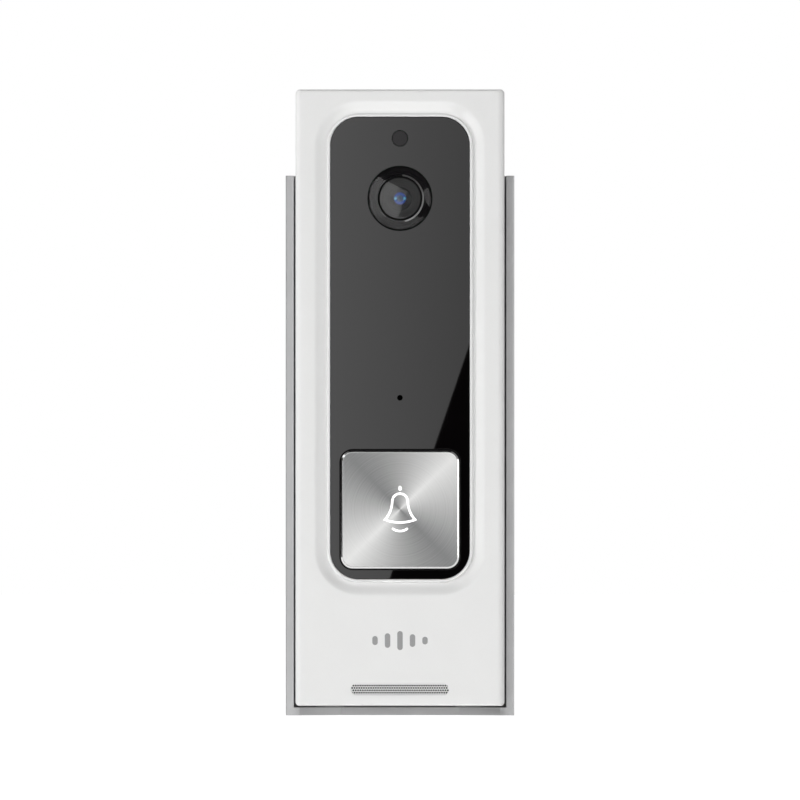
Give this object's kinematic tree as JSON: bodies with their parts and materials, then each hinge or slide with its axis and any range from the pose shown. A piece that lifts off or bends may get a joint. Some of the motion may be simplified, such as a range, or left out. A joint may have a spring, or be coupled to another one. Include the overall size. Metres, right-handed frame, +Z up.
{
  "type": "video doorbell",
  "caption": "Slim upright battery video doorbell in a U-shaped aluminium wall bracket, with a domed camera in a black gloss front and a square spun-metal push button.",
  "frame": {"origin": "middle of the bracket's back face, on the wall, midway between the two wall screws", "axes": "+Z up, +Y into the wall, +X to the right as seen by the visitor; the front faces -Y"},
  "size_m": [0.0504, 0.0315, 0.1379],
  "materials": {
    "anodised_aluminium": "bead-blasted and clear anodised",
    "screw_steel": "plated steel",
    "white_shell": "satin white, UV-stable",
    "grey_silicone": "soft silicone",
    "white_silicone": "soft white silicone",
    "black_gloss": "piano-black gloss",
    "black_foam": "black adhesive foam",
    "smoked_window": "smoked clear plastic",
    "cover_glass": "polished, domed",
    "lens_glass": "polished and coated",
    "lens_coating": "blue anti-reflection coating",
    "black_matte": "fine-textured black",
    "silicon_chip": "bare sensor glass",
    "green_board": "solder-masked board",
    "clear_lamp": "clear lamp resin",
    "tinned_steel": "tinned sheet",
    "copper_film": "copper on film",
    "amber_film": "polyimide ribbon",
    "ivory_plastic": "connector plastic",
    "wire_sheath": "insulated wire",
    "bright_frame": "polished bevel",
    "spun_metal": "circular brushed, spun finish",
    "milky_guide": "milky light guide",
    "white_cap": "satin white",
    "mesh_steel": "perforated stainless strip",
    "black_cloth": "water-resistant cloth",
    "cone_film": "pressed diaphragm",
    "magnet_steel": "plated magnet cup",
    "cell_wrap": "plain shrink wrap on a metal can",
    "contact_nickel": "nickel-plated spring strip",
    "terminal_brass": "brass"
  },
  "bodies": {
    "bracket": {"wall_bracket": "anodised_aluminium", "security_screw": "screw_steel"},
    "unit": {"housing_screws": "screw_steel", "board_screws": "screw_steel", "battery_door_screw": "screw_steel", "front_shell": "white_shell", "rear_housing": "white_shell", "battery_door": "white_shell", "housing_gasket": "grey_silicone", "battery_door_seal": "grey_silicone", "microphone_boot": "grey_silicone", "charging_flap_root": "white_silicone", "front_panel": "black_gloss", "panel_tape": "black_foam", "speaker_tape": "black_foam", "light_sensor_window": "smoked_window", "camera_glass": "cover_glass", "lens_front_element": "lens_glass", "lens_coated_element": "lens_coating", "camera_bezel": "black_matte", "lens_barrel": "black_matte", "lens_holder": "black_matte", "button_switch": "black_matte", "reset_switch": "black_matte", "speaker_frame": "black_matte", "image_sensor": "silicon_chip", "light_sensor": "silicon_chip", "main_board": "green_board", "camera_board": "green_board", "ir_led_board": "green_board", "charging_board": "green_board", "ir_leds": "clear_lamp", "icon_leds": "clear_lamp", "processor_shield": "tinned_steel", "wifi_module": "tinned_steel", "microphone": "tinned_steel", "charging_socket": "tinned_steel", "wifi_antenna": "copper_film", "camera_flex": "amber_film", "flex_sockets": "ivory_plastic", "lead_wires": "wire_sheath", "speaker_mesh": "mesh_steel", "speaker_membrane": "black_cloth", "speaker_cone": "cone_film", "speaker_magnet": "magnet_steel", "battery_cells": "cell_wrap", "battery_contacts": "contact_nickel", "battery_springs": "contact_nickel", "speaker_contacts": "contact_nickel", "terminal_plates": "terminal_brass", "terminal_screws": "terminal_brass"},
    "button": {"button_frame": "bright_frame", "button_plate": "spun_metal", "bell_light_guide": "milky_guide", "button_carrier": "black_matte", "button_seal": "grey_silicone", "switch_stem": "black_matte"},
    "reset": {"reset_button": "white_cap"},
    "flap": {"charging_flap": "white_silicone"}
  },
  "joints": [
    {"name": "unit_lift", "type": "slide", "parent": "bracket", "child": "unit", "axis": [0, 0, 1], "range_m": [0, 0.118]},
    {"name": "button_press", "type": "slide", "parent": "unit", "child": "button", "axis": [0, 1, 0], "range_m": [0, 0.0006], "stiffness_N_per_m": 2500, "springref_m": -0.0002},
    {"name": "reset_press", "type": "slide", "parent": "unit", "child": "reset", "axis": [0, -1, 0], "range_m": [0, 0.0004], "stiffness_N_per_m": 3000, "springref_m": -0.0001},
    {"name": "flap_swing", "type": "hinge", "parent": "unit", "child": "flap", "pos_m": [-0.004, -0.0023, 0.065], "axis": [-1, 0, 0], "range_deg": [0, 110]}
  ]
}
